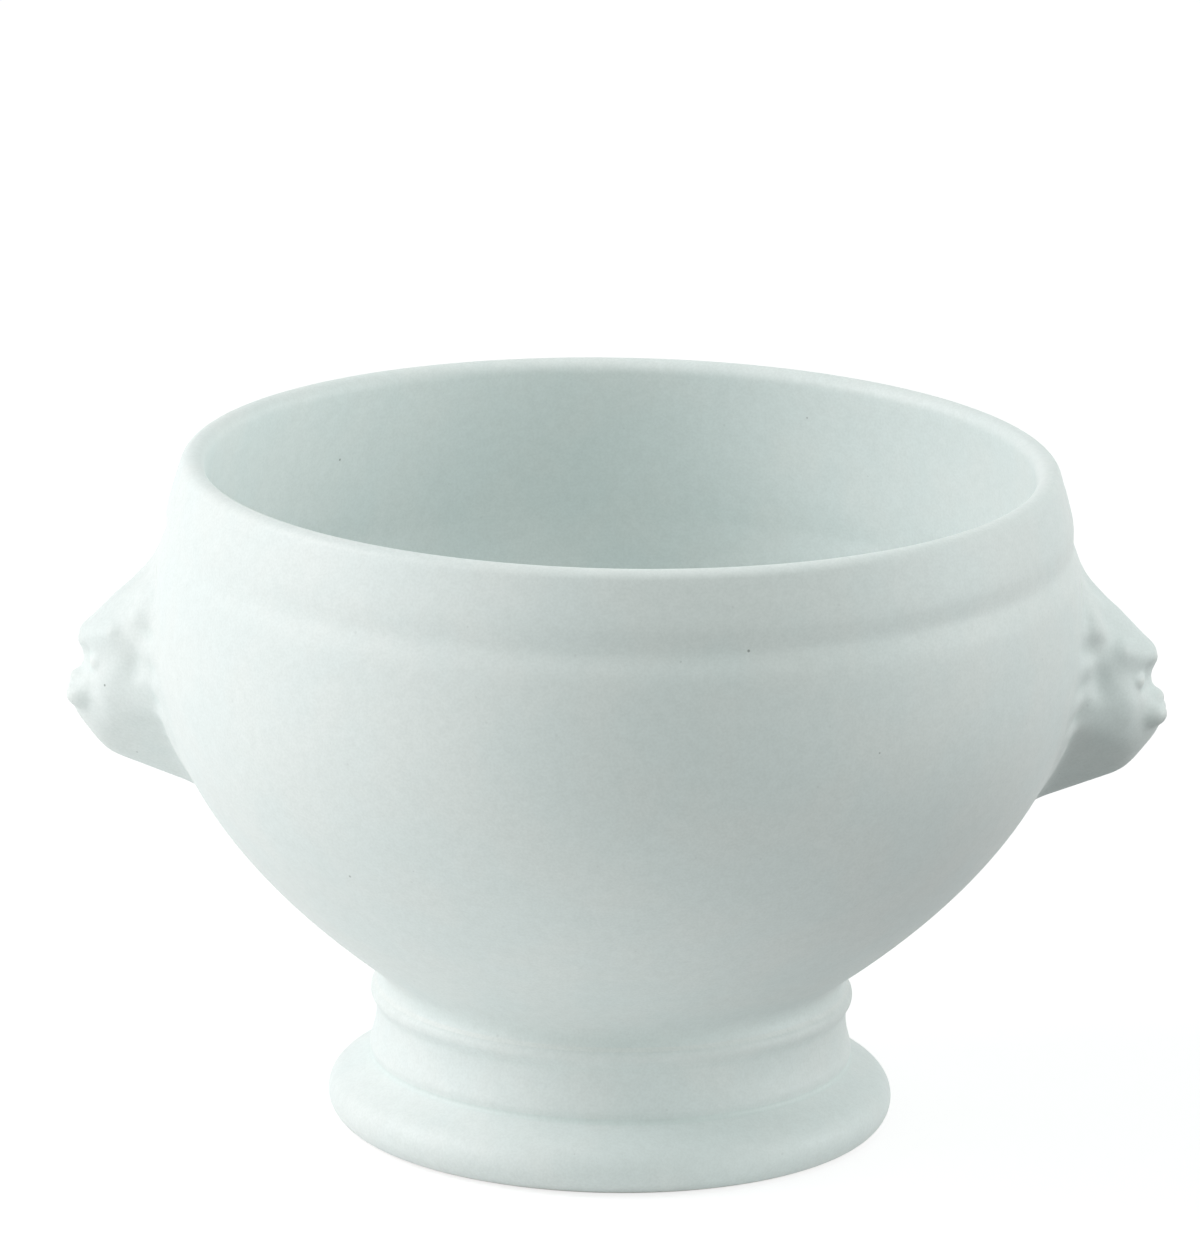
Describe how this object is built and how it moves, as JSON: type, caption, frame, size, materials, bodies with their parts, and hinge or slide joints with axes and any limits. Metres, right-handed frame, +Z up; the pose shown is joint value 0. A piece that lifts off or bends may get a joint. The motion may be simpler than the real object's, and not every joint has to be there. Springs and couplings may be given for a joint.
{
  "type": "french onion soup crock",
  "caption": "Footed porcelain soup crock with a round belly, grooved rim band, hollow pedestal foot and a lion head on each side, for serving and gratinating onion soup.",
  "frame": {"origin": "middle of the foot ring, on the table", "axes": "+Z up, +X towards the right lion head, +Y away from the picture's camera"},
  "size_m": [0.1446, 0.123, 0.09],
  "materials": {
    "glazed_porcelain": "satin white glaze with a faint blue-green tone",
    "fired_slip": "fired slip under the same satin glaze"
  },
  "bodies": {
    "root": {"bowl": "glazed_porcelain", "pedestal_foot": "glazed_porcelain", "lion_head_left": "glazed_porcelain", "lion_head_right": "glazed_porcelain", "foot_slip_joint": "fired_slip", "left_head_slip_joint": "fired_slip", "right_head_slip_joint": "fired_slip"}
  },
  "joints": []
}
